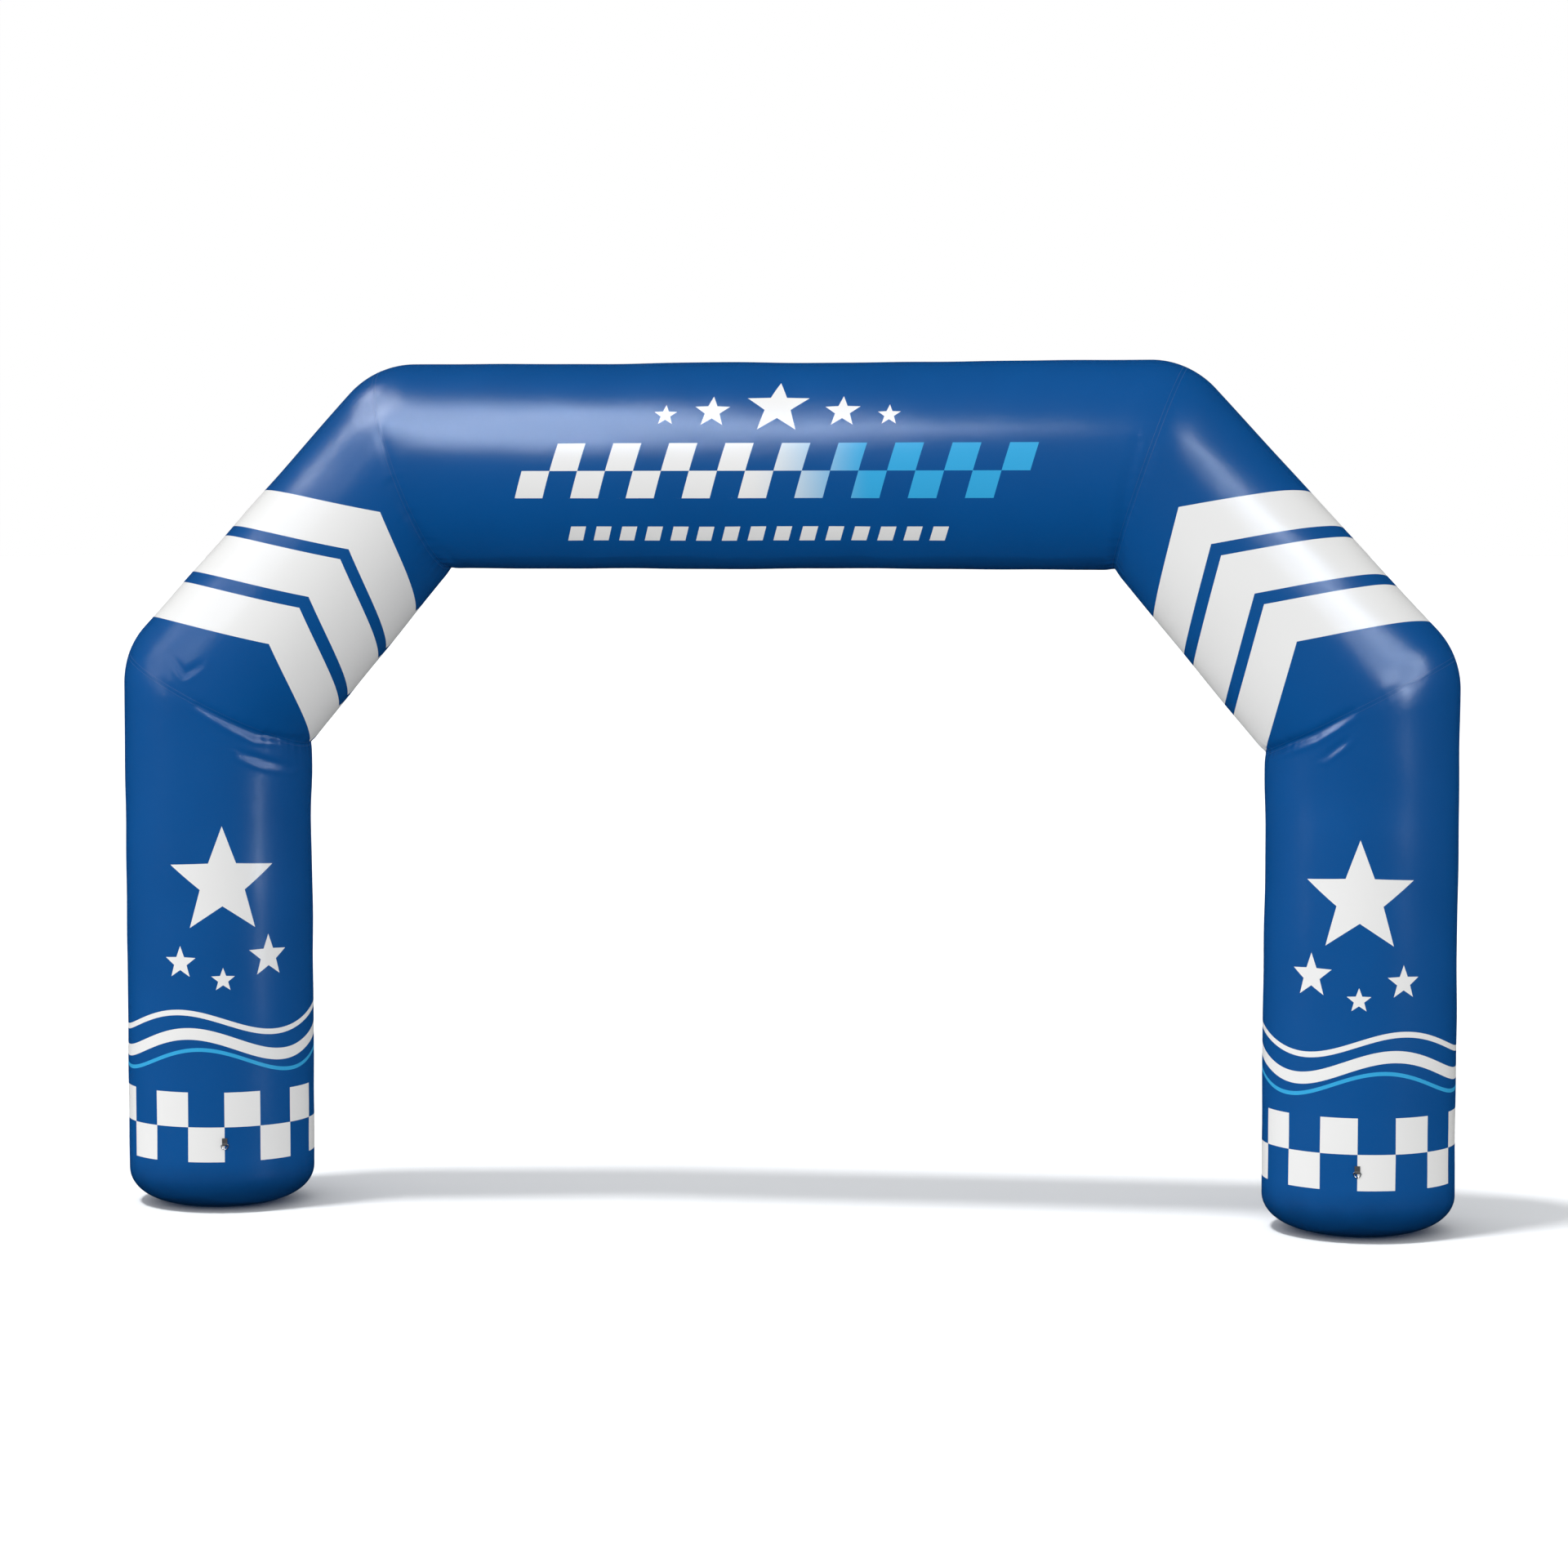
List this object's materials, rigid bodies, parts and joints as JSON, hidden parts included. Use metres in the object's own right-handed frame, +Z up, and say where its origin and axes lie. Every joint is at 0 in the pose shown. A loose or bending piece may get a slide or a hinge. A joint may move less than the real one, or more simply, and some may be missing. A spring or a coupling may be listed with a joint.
{
  "type": "inflatable arch",
  "caption": "Free-standing inflatable arch of coated cloth: two upright tubes, two slanted shoulder tubes and a level beam over a walkway, with tether rings.",
  "frame": {"origin": "on the floor midway between the two feet and midway through the arch's thickness", "axes": "+Z up, +X along the beam towards the right leg as seen from the front, -Y out of the front"},
  "size_m": [6.3012, 0.959, 4.0023],
  "materials": {
    "cloth_blue": "smooth coated cloth, satin",
    "base_cloth": "heavier coated cloth, dull",
    "webbing_grey": "woven webbing, dull",
    "ring_steel": "plain wire, satin"
  },
  "bodies": {
    "root": {"beam": "cloth_blue", "leg_left": "cloth_blue", "leg_right": "cloth_blue", "shoulder_left": "cloth_blue", "shoulder_right": "cloth_blue", "base_panel_left": "base_cloth", "base_panel_right": "base_cloth", "tether_tab_left": "webbing_grey", "tether_tab_right": "webbing_grey", "tether_ring_left": "ring_steel", "tether_ring_right": "ring_steel"}
  },
  "joints": []
}
